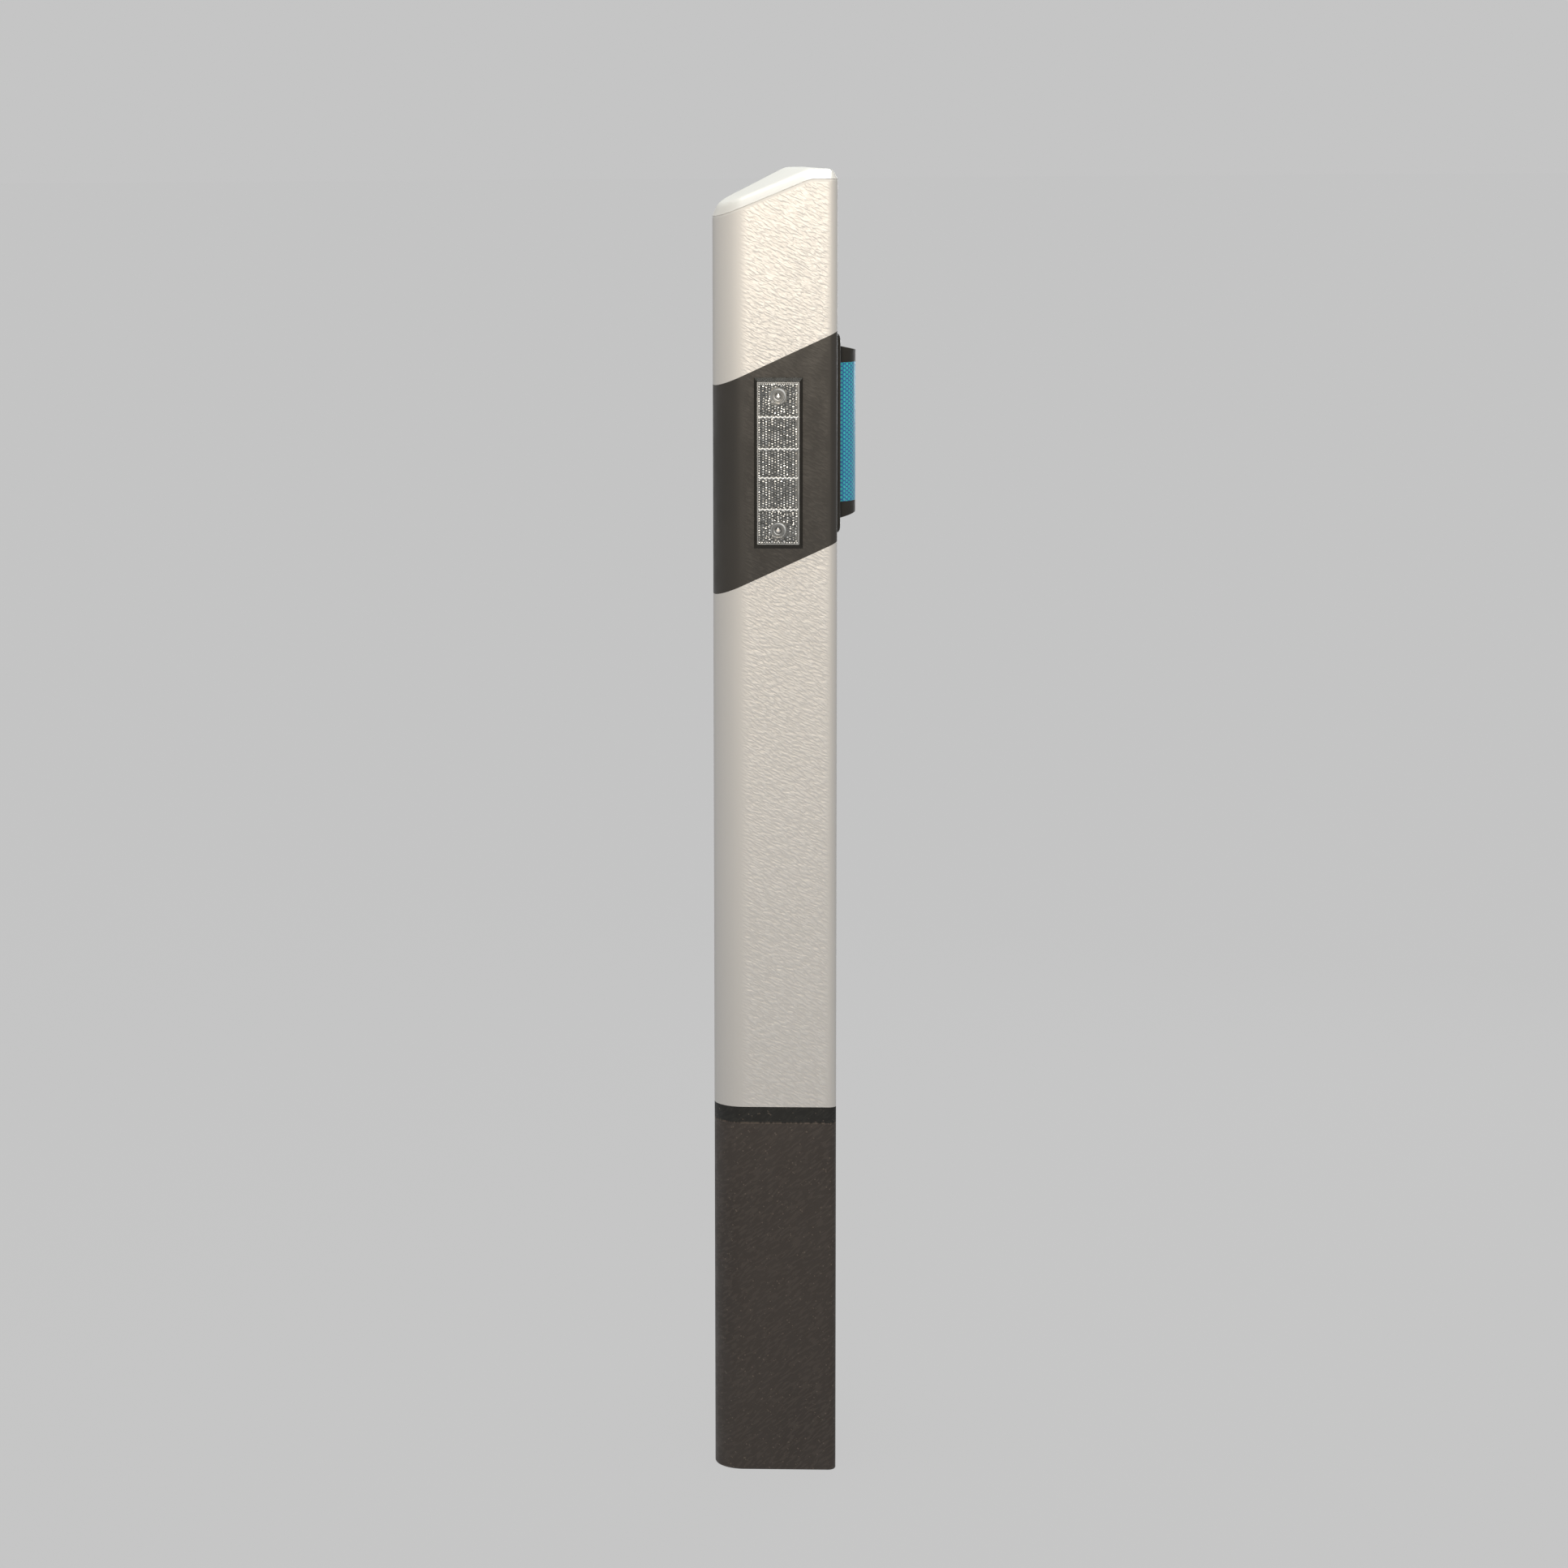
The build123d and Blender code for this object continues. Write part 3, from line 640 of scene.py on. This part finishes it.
def rectangle(width, height, z):
    """A loop of a rectangle with rounded corners, in the face's own plane."""
    radius = 0.5 * MM
    steps = 4
    loop = []
    for quarter, (sx, sy) in enumerate(((1, 1), (-1, 1), (-1, -1), (1, -1))):
        for i in range(steps + 1):
            a = math.pi / 2 * (quarter + i / steps)
            loop.append((sx * (width / 2 - radius) + radius * math.cos(a),
                         sy * (height / 2 - radius) + radius * math.sin(a), z))
    return loop


def circle(radius, z):
    """A circular loop in the face's own plane."""
    steps = 72
    return [(radius * math.cos(math.tau * i / steps), radius * math.sin(math.tau * i / steps), z)
            for i in range(steps)]


def frame_tray(name, loops, matrix, node):
    """A chamfered reflector frame with a flat tray floor, from loops inside the tray to the foot outside."""
    points, faces = bridge(loops)
    count = len(loops[0])
    faces.append(tuple(range(count)))
    faces.append(tuple(reversed(range((len(loops) - 1) * count, len(loops) * count))))
    make(name, placed(matrix, points), faces, BLACK, "post", [node], bevel=0.35 * MM)


def prism_field(inside, bounds, jitter):
    """Corner-cube cells on a hexagonal lattice with a small facet on each peak that carries a painted glint,
    as (points, faces, tones).
    """
    points, faces, tones = [], [], []
    low_x, high_x, low_y, high_y = bounds
    radius_x, radius_y = COLUMN_PITCH / 1.5, ROW_PITCH / math.sqrt(3)
    middle_level, peak_level = LENS_FLOOR + PRISM_MIDDLE, LENS_FLOOR + PRISM_PEAK
    for column in range(-1, int((high_x - low_x) / COLUMN_PITCH) + 2):
        stripe = random.choice((0.45, 0.8, 1.0))
        for row in range(-1, int((high_y - low_y) / ROW_PITCH) + 2):
            centre_y = low_y + (row + 0.5 * (column % 2)) * ROW_PITCH
            centre = Vector((low_x + column * COLUMN_PITCH, centre_y))
            corners = []
            for i in range(6):
                turn = i * math.pi / 3
                corners.append(centre + Vector((radius_x * math.cos(turn), radius_y * math.sin(turn))))
            if not all(inside(c.x, c.y) for c in corners):
                continue
            first = len(points)
            sag = random.uniform(-0.10, 0.10) * MM
            points.append((centre.x, centre.y, LENS_FLOOR + sag))
            points += [(c.x, c.y, (peak_level, middle_level)[i % 2]) for i, c in enumerate(corners)]
            for i in range(3):
                a, b, c = 1 + (2 * i + 5) % 6, 1 + 2 * i, 1 + 2 * i + 1
                faces.append((first, first + a, first + b, first + c))
                tones.append(random.uniform(0.0, 0.16))
            # painted glints: most studs get a light tone, the rest a dim one
            glinting = random.random() < 0.62
            glow = stripe * (random.uniform(0.8, 1.2) if glinting else random.uniform(0.15, 0.4))
            size = random.uniform(0.62, 0.95) * MM
            glint_stud(points, faces, tones, corners[0], peak_level, size, glow, jitter)
    return points, faces, tones


def glint_stud(points, faces, tones, place, level_z, size, glow, jitter):
    """A small tilted facet, given a light tone as a painted glint."""
    place = place + Vector((random.uniform(-1, 1), random.uniform(-1, 1))) * jitter
    first = len(points)
    lean_x, lean_y = random.uniform(-0.10, 0.10), random.uniform(-0.05, 0.25)
    steps = 6
    for scale, drop in ((1.25, 0.30 * MM), (1.0, -0.04 * MM)):
        for i in range(steps):
            dx = scale * size * math.cos(math.tau * i / steps)
            dy = scale * 0.8 * size * math.sin(math.tau * i / steps)
            points.append((place.x + dx, place.y + dy, level_z - drop - lean_x * dx - lean_y * dy))
    tone = min(1.0, glow)
    for i in range(steps):
        j = (i + 1) % steps
        faces.append((first + i, first + j, first + steps + j, first + steps + i))
        tones.append(tone * 0.7)
    faces.append(tuple(range(first + steps, first + 2 * steps)))
    tones.append(tone)


def join(groups):
    """Join groups of (points, faces, tones) into one."""
    points, faces, tones = [], [], []
    for p, f, t in groups:
        shift = len(points)
        points += p
        faces += [tuple(i + shift for i in face) for face in f]
        tones += t
    return points, faces, tones


def boss(x, y):
    """The smooth seat round a rivet: an outer lip, a flat ring, an inner lip and a recess, with painted
    highlights on the lips and painted shade in the recess.
    """
    steps = 48
    # radius and height of each loop in millimetres, from the outer lip inwards
    path = [(8.3, 0), (8.1, 0.75), (7.7, 1.0), (7.0, 0.95), (6.5, 0.62)]
    path += [(4.9, 0.60), (4.5, 0.85), (3.9, 0.85), (3.5, 0.32), (1.5, 0.30)]
    # tone of each band between two loops, and the painted highlight that its lit side adds (the far side if
    # negative); the near-black tone in the recess round the dome is painted shade
    shades = [(0.2, 0.5), (0.3, 0.7), (0.25, 0.75), (0.12, 0.5), (0.10, 0.0)]
    shades += [(0.10, -0.5), (0.12, -0.9), (0.02, -0.2), (0.02, 0.0)]
    turns = [math.tau * i / steps for i in range(steps)]
    loops = [[(x + r * MM * math.cos(t), y + r * MM * math.sin(t), LENS_FLOOR + h * MM) for t in turns]
             for r, h in path]
    points, faces = bridge(loops)
    tones = []
    for plain, highlight_share in shades:
        for t in turns:
            lit = math.cos(t - BOSS_HIGHLIGHT_TURN)
            tones.append(plain + abs(highlight_share) * max(0.0, math.copysign(1, highlight_share) * lit) ** 2)
    return points, faces, tones


def wavy_rib(y, width):
    """A thin rib across the lens that zigzags past the prism rows, with a painted highlight along its top.
    """
    steps = 96
    waves = 9
    shoulder = LENS_RIM - 0.30 * MM
    # offset in millimetres and height of each point across the rib, and the tone of each strip between two,
    # which paints a highlight along the rib's top
    profile = [(-1.4, LENS_FLOOR), (-1.0, shoulder), (-0.4, LENS_RIM)]
    profile += [(0.4, LENS_RIM), (1.0, shoulder), (1.4, LENS_FLOOR)]
    strip_highlight_tones = (0.25, 0.9, 1.0, 0.9, 0.3)
    points, faces = [], []
    for i in range(steps + 1):
        x = -width / 2 + width * i / steps
        phase = waves * i / steps
        sway = 2.6 * MM * (abs(phase % 1 - 0.5) - 0.25) + 0.15 * MM * math.sin(31 * phase)
        points += [(x, y + sway + offset * MM, z) for offset, z in profile]
    tones = []
    count = len(profile)
    for i in range(steps):
        for j, tone in enumerate(strip_highlight_tones):
            a = i * count + j
            faces.append((a, a + 1, a + count + 1, a + count))
            tones.append(tone * (0.85 + 0.15 * math.sin(i * 0.9)))
    return points, faces, tones


def beads(places):
    """Studs along the border of a lens, given a light tone as painted glints."""
    points, faces, tones = [], [], []
    for x, y in places:
        size = BEAD_SIZE * random.uniform(0.8, 1.2)
        glint_stud(points, faces, tones, Vector((x, y)), BEAD_LEVEL, size, 0.95, 0.1 * MM)
    return points, faces, tones


def turned_out(points, faces, back):
    """The faces, each wound so that it looks out of the reflector, or backwards on its back."""
    result = []
    for face in faces:
        a, b, c = (Vector(points[face[i]]) for i in (0, 1, 2))
        normal = (b - a).cross(c - a).normalized()
        middle = sum((Vector(points[i]) for i in face), Vector()) / len(face)
        if abs(normal.z) > 0.05:
            wrong = (normal.z < 0) != (middle.z < back + 0.01 * MM)
        else:
            wrong = normal.x * middle.x + normal.y * middle.y < 0
        result.append(tuple(reversed(face)) if wrong else face)
    return result


def set_tones(obj, tones):
    """One tone for each face, which the material reads."""
    attribute = obj.data.attributes.new("tone", "FLOAT", "FACE")
    attribute.data.foreach_set("value", tones)


def finish_lens(name, groups, matrix, nodes):
    """Join a lens's groups into one piece that stands for its CAD nodes."""
    points, faces, tones = join(groups)
    faces = turned_out(points, faces, LENS_BACK)
    obj = make(name, placed(matrix, points), faces, LENS, "post", nodes,
               smooth=False, closed=False)
    set_tones(obj, tones)


def lens_slab(shape):
    """The solid slab under the prisms, with its smooth raised rim, whose lighter tone is painted light seen
    through the clear edge. shape(inset, z) is a loop.
    """
    path = [(0, LENS_BACK), (0, LENS_RIM), (LENS_BORDER * 0.7, LENS_RIM), (LENS_BORDER, LENS_FLOOR)]
    loops = [shape(inset, z) for inset, z in path]
    points, faces = bridge(loops)
    count = len(loops[0])
    # painted light: the rim's lighter tone stands for light seen through the clear edge
    rim_sheen_tone, back_tone, floor_tone = 0.35, 0.1, 0.08
    tones = [rim_sheen_tone] * len(faces)
    faces.append(tuple(range(count)))
    faces.append(tuple(range(3 * count, 4 * count)))
    return points, faces, tones + [back_tone, floor_tone]


def steps_between(low, high, pitch):
    """Middles of even steps, of about the pitch given, from low to high."""
    count = int((high - low) / pitch)
    return [low + (high - low) * (i + 0.5) / count for i in range(count)]


def long_reflector():
    """The long reflector on the near face: its frame, and its lens in five fields between four ribs."""
    matrix = side_matrix(-1, REFLECTOR_ALONG, REFLECTOR_Z)
    width, height = LONG_FRAME
    in_width, in_height = LONG_TRAY
    loops = [rectangle(in_width, in_height, TRAY_FLOOR), rectangle(in_width, in_height, FRAME_RISE)]
    loops.append(rectangle(in_width + LONG_LIP, in_height + LONG_LIP, FRAME_RISE))
    loops += [rectangle(width, height, FRAME_FOOT), rectangle(width, height, 0)]
    frame_tray("rect_reflector_frame", loops, matrix, "rect_housing")

    lens_w, lens_h = LONG_LENS
    groups = [lens_slab(lambda inset, z: rectangle(lens_w - 2 * inset, lens_h - 2 * inset, z))]
    half_w, half_h = lens_w / 2 - LENS_BORDER, lens_h / 2 - LENS_BORDER
    ribs = [-OUTER_RIB, -INNER_RIB, INNER_RIB, OUTER_RIB]
    edges = [-half_h] + ribs + [half_h]
    rivets = [(0, LONG_RIVET), (0, -LONG_RIVET)]
    under_rim, rib_clearance = 0.2 * MM, 0.4 * MM
    for i, (low, high) in enumerate(zip(edges, edges[1:])):

        def inside(x, y, low=low, high=high):
            clear = all(math.hypot(x - rx, y - ry) > BOSS_CLEARANCE for rx, ry in rivets)
            return abs(x) < half_w + under_rim and low + rib_clearance < y < high - rib_clearance and clear

        uneven = i in (0, len(ribs))  # the two end fields are set less evenly
        groups.append(prism_field(inside, (-half_w, half_w, low, high), (0.5 if uneven else 0.12) * MM))
    groups += [wavy_rib(y, 2 * half_w) for y in ribs]
    groups += [boss(x, y) for x, y in rivets]
    side_inset, end_inset = 1.0 * MM, 0.9 * MM
    places = [(-half_w + side_inset, y) for y in steps_between(-half_h, half_h, 2.5 * MM)]
    places += [(x, half_h - end_inset) for x in steps_between(-half_w, half_w, 2.2 * MM)]
    places += [(x, end_inset - half_h) for x in steps_between(-half_w, half_w, 2.6 * MM)]
    groups.append(beads(places))
    finish_lens("rect_reflector_lens", groups, matrix, ["rect_lens"])


def round_reflector(which, offset):
    """One of the two round reflectors on the far face: its frame and its lens."""
    matrix = side_matrix(1, REFLECTOR_ALONG, REFLECTOR_Z + offset)
    loops = [circle(ROUND_TRAY, TRAY_FLOOR), circle(ROUND_TRAY, FRAME_RISE)]
    loops.append(circle(ROUND_TRAY + ROUND_LIP, FRAME_RISE))
    loops += [circle(ROUND_FRAME, FRAME_FOOT), circle(ROUND_FRAME, 0)]
    frame_tray(which + "_round_frame", loops, matrix, which + "_round_housing")

    reach = ROUND_LENS - LENS_BORDER
    groups = [lens_slab(lambda inset, z: circle(ROUND_LENS - inset, z))]

    def inside(x, y):
        return BOSS_CLEARANCE < math.hypot(x, y) < reach

    groups.append(prism_field(inside, (-reach, reach, -reach, reach), 0.12 * MM))
    groups.append(boss(0, 0))
    count = 62
    turns = [math.tau * i / count for i in range(count)]
    edge = reach - 0.7 * MM
    groups.append(beads([(edge * math.cos(a), edge * math.sin(a)) for a in turns]))
    finish_lens(which + "_round_reflector_lens", groups, matrix, [which + "_round_lens"])


# ======== wildlife reflector ========

def blue_sheet():
    """The half-round blue sheet, embossed with honeycomb cells."""
    radius = (FOIL_HIGH.y - FOIL_LOW.y) / 2
    axis_x = PLATE_FRONT
    pitch = 4.4 * MM
    columns = 26
    step = math.pi / columns
    wall = 0.24  # a cell's wall, as a share of its half width
    well = 0.62  # the foot of a cell's slope, likewise
    depth = 0.42 * MM
    skin = 0.02 * MM
    back_depth = 0.58 * MM
    points, faces, tones = [], [], []

    def at(angle, z, sink):
        """A point of the half round, sunk below its surface and kept within its edges."""
        angle = min(max(angle, 0.0), math.pi)
        r = radius - sink
        z = min(max(z, FOIL_LOW.z), FOIL_HIGH.z)
        return (axis_x + r * math.sin(angle), -r * math.cos(angle), z)

    hexagon = [(2 / 3, 0), (1 / 3, 0.5), (-1 / 3, 0.5), (-2 / 3, 0), (-1 / 3, -0.5), (1 / 3, -0.5)]
    for c in range(columns + 1):
        for r in range(-1, int((FOIL_HIGH.z - FOIL_LOW.z) / pitch) + 2):
            mid_a = c * step
            mid_z = FOIL_LOW.z + (r + (0.5 if c % 2 else 0.0)) * pitch
            if mid_z < FOIL_LOW.z - pitch / 2 or mid_z > FOIL_HIGH.z + pitch / 2:
                continue
            first = len(points)
            for scale, sink in ((1.0, 0.0), (1 - wall, 0.0), (well, depth * 0.7)):
                points += [at(mid_a + scale * a * step, mid_z + scale * z * pitch, sink + skin)
                           for a, z in hexagon]
            points.append(at(mid_a, mid_z, depth))
            glow = random.uniform(0.85, 1.0)
            for band, tone in ((0, 0.0), (1, 0.5)):
                for i in range(6):
                    a = first + band * 6 + i
                    b = first + band * 6 + (i + 1) % 6
                    faces.append((a, b, b + 6, a + 6))
                    tones.append(tone)
            faces += [(first + 12 + i, first + 12 + (i + 1) % 6, first + 18) for i in range(6)]
            tones += [glow] * 6
    back = len(points)
    for i in range(columns + 1):
        points += [at(i * step, FOIL_LOW.z, back_depth), at(i * step, FOIL_HIGH.z, back_depth)]
    for i in range(columns):
        a = back + 2 * i
        faces.append((a, a + 1, a + 3, a + 2))
        tones.append(0.0)
    outward = []
    for face in faces:
        corners = [Vector(points[i]) for i in face]
        normal = (corners[1] - corners[0]).cross(corners[2] - corners[0])
        middle = sum(corners, Vector()) / len(corners)
        wrong = (normal.x * (middle.x - axis_x) + normal.y * middle.y < 0) != (face[0] >= back)
        outward.append(tuple(reversed(face)) if wrong else face)
    obj = make("warner_blue_sheet", points, outward, FOIL, "post", ["warner_foil"], closed=False)
    set_tones(obj, tones)


ground_sleeve()
collar()
post_shell()
black_band()
top_cap()
long_reflector()
round_reflector("upper", ROUND_OFFSET)
round_reflector("lower", -ROUND_OFFSET)
blue_sheet()

# ---- CAD pieces whose shape is right get their materials ----
FINISHES = {
    BLACK: ["warner_plate", "warner_carrier", "warner_top_end", "warner_bottom_end"],
    FOOT: ["foot_plug"],
    ALUMINIUM: ["foot_rivets", "spring_rivets", "rect_rivets", "round_rivets", "warner_rivets"],
    STEEL: ["clamp_springs", "warner_screws"],
    SILVER: ["rect_backing", "upper_round_backing", "lower_round_backing"],
    FOAM: ["warner_pad"],
}
for material, names in FINISHES.items():
    for name in names:
        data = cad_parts[name].data
        data.materials.clear()
        data.materials.append(material)


# ======== floor, light and camera ========

BACKDROP = 0.558
OVERHEAD = 0.05
HAZE_TOP = 0.5
HAZE_FOOT = 0.06
FLOOR_DIFFUSE = 0.03
FLOOR_GLOW = 0.985
FLOOR_REACH = 60.0
FLOOR_GAP = 0.2 * MM

CAMERA_PLACE = (-1.2678, -4.4682, 1.4987)
CAMERA_DOWN = math.radians(9.147)
CAMERA_TURN = math.radians(16.041)
CAMERA_LENS = 100.69
CAMERA_SENSOR = 36.0


def floor():
    """The plain pale floor, just under the object."""
    p = Paint("floor")
    cloud = p.noise(p.even(0.7), detail=2.0)
    shade = FLOOR_DIFFUSE
    p.finish(p.mix(cloud, rgba(shade, shade, shade), rgba(shade * 1.02, shade * 1.02, shade * 1.02)))
    p.set(Roughness=0.9, Specular_IOR_Level=0.0, Emission_Color=rgba(BACKDROP, BACKDROP, BACKDROP),
          Emission_Strength=FLOOR_GLOW)
    mesh = bpy.data.meshes.new("floor")
    corners = [(sx * FLOOR_REACH, sy * FLOOR_REACH, -FLOOR_GAP)
               for sx, sy in ((-1, -1), (1, -1), (1, 1), (-1, 1))]
    mesh.from_pydata(corners, [], [(0, 1, 2, 3)])
    mesh.materials.append(p.material)
    obj = bpy.data.objects.new("floor", mesh)
    bpy.context.scene.collection.objects.link(obj)


def studio_world():
    """Even grey at eye level, darker overhead."""
    world = bpy.data.worlds.new("studio")
    world.use_nodes = True
    tree = world.node_tree
    place = tree.nodes.new("ShaderNodeTexCoord")
    split = tree.nodes.new("ShaderNodeSeparateXYZ")
    fade = tree.nodes.new("ShaderNodeMapRange")
    fade.interpolation_type = "SMOOTHSTEP"
    for socket, value in zip(fade.inputs[1:5], (HAZE_FOOT, HAZE_TOP, BACKDROP, OVERHEAD)):
        socket.default_value = value
    tree.links.new(place.outputs["Generated"], split.inputs[0])
    tree.links.new(split.outputs[2], fade.inputs[0])
    tree.links.new(fade.outputs[0], tree.nodes["Background"].inputs["Color"])
    bpy.context.scene.world = world


def area_light(name, place, aim, size, power, color):
    """A round soft light at place that shines at aim, in metres and watts."""
    data = bpy.data.lights.new(name, "AREA")
    data.shape = "DISK"
    data.size = size
    data.energy = power
    data.color = color
    obj = bpy.data.objects.new(name, data)
    obj.location = place
    obj.rotation_mode = "QUATERNION"
    obj.rotation_quaternion = (Vector(aim) - Vector(place)).to_track_quat("-Z", "Y")
    obj.visible_camera = False
    bpy.context.scene.collection.objects.link(obj)


floor()
studio_world()
area_light("key", (-0.86, -2.35, 1.44), (0, 0, 1.25), 0.30, 13.3, (1.0, 0.86, 0.69))
area_light("near", (-0.26, -0.89, 1.56), (0, 0, 1.38), 0.16, 1.9, (1.0, 0.86, 0.68))
area_light("top", (-0.03, -0.10, 2.40), (0, 0, 1.35), 0.35, 16.0, (0.97, 1.0, 0.97))
area_light("fill", (1.7, 1.8, 1.5), (0, 0, 0.8), 1.2, 16.0, (0.98, 0.99, 1.0))

camera = bpy.data.objects.new("camera", bpy.data.cameras.new("camera"))
camera.data.sensor_width = CAMERA_SENSOR
camera.data.lens = CAMERA_LENS
camera.location = CAMERA_PLACE
camera.rotation_euler = (math.pi / 2 - CAMERA_DOWN, 0, -CAMERA_TURN)
bpy.context.scene.collection.objects.link(camera)
bpy.context.scene.camera = camera
bpy.context.scene.view_settings.view_transform = "Standard"
